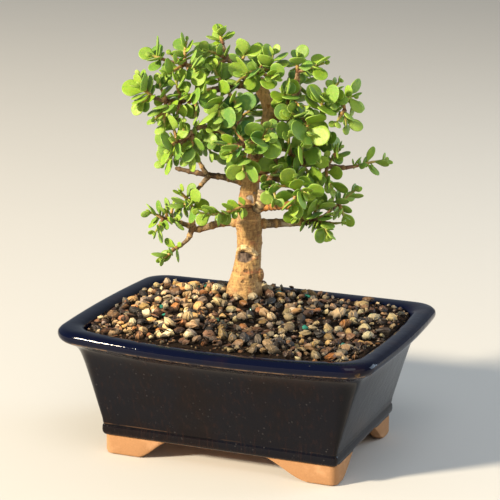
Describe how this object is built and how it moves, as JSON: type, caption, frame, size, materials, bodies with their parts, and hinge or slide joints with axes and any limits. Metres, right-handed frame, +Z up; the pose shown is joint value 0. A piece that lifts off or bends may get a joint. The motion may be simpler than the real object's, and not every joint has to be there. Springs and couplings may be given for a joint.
{
  "type": "jade bonsai in a footed pot",
  "caption": "Small-leaved jade bonsai with an upright trunk and tiered leafy limbs, in a dark blue glazed rectangular pot with clay feet and a gravel top dressing.",
  "frame": {"origin": "centre of the pot's footprint, on the surface that its feet stand on", "axes": "+Z up, +X along the pot's long side, +Y through the pot from its front to its back"},
  "size_m": [0.2044, 0.161, 0.2556],
  "materials": {
    "glazed_stoneware": "dark navy blue ceramic glaze, glossy, over orange unglazed clay that shows on the feet and underside",
    "potting_soil": "dark, damp, crumbly soil",
    "gravel": "mixed pebbles in cream, tan, ochre, brown and grey",
    "screen_mesh": "black plastic drain mesh",
    "clip_wire": "soft aluminium wire",
    "trunk_bark": "pale tan bark with fine rings, pits and scars",
    "limb_bark": "brown ringed bark of the limbs",
    "leaf": "glossy green succulent leaves on green to red-brown twigs"
  },
  "bodies": {
    "root": {"drain_screen_left": "screen_mesh", "drain_screen_right": "screen_mesh", "gravel": "gravel", "limb_back_left": "limb_bark", "limb_back_right": "limb_bark", "limb_crown_right": "limb_bark", "limb_front_right": "limb_bark", "limb_front_upper": "limb_bark", "limb_leader": "limb_bark", "limb_left_high": "limb_bark", "limb_left_low": "limb_bark", "limb_left_mid": "limb_bark", "limb_left_upper": "limb_bark", "limb_right_high": "limb_bark", "limb_right_low": "limb_bark", "limb_right_upper": "limb_bark", "pot": "glazed_stoneware", "screen_clip_left": "clip_wire", "screen_clip_right": "clip_wire", "shoot_back_left": "leaf", "shoot_back_low": "leaf", "shoot_back_right": "leaf", "shoot_crown_back": "leaf", "shoot_crown_centre": "leaf", "shoot_crown_front": "leaf", "shoot_crown_right_up": "leaf", "shoot_front_low": "leaf", "shoot_front_right_inner": "leaf", "shoot_front_right_tip": "leaf", "shoot_front_upper_left": "leaf", "shoot_front_upper_right": "leaf", "shoot_left_front": "leaf", "shoot_left_high_inner": "leaf", "shoot_left_high_mid": "leaf", "shoot_left_high_outer": "leaf", "shoot_left_high_tip": "leaf", "shoot_left_low_down": "leaf", "shoot_left_low_tip": "leaf", "shoot_left_low_up": "leaf", "shoot_left_mid_down": "leaf", "shoot_left_mid_up": "leaf", "shoot_left_rosette": "leaf", "shoot_left_upper_tip": "leaf", "shoot_left_upper_under": "leaf", "shoot_right_front_rosette": "leaf", "shoot_right_high_front": "leaf", "shoot_right_high_outer": "leaf", "shoot_right_high_tip": "leaf", "shoot_right_low_rosette": "leaf", "shoot_right_low_tip": "leaf", "shoot_right_upper_rosette": "leaf", "shoot_right_upper_tip": "leaf", "shoot_top_left_inner": "leaf", "shoot_top_left_of_leader": "leaf", "shoot_top_left_tip": "leaf", "shoot_top_right_of_leader": "leaf", "shoot_top_tip": "leaf", "soil": "potting_soil", "trunk": "trunk_bark"}
  },
  "joints": []
}
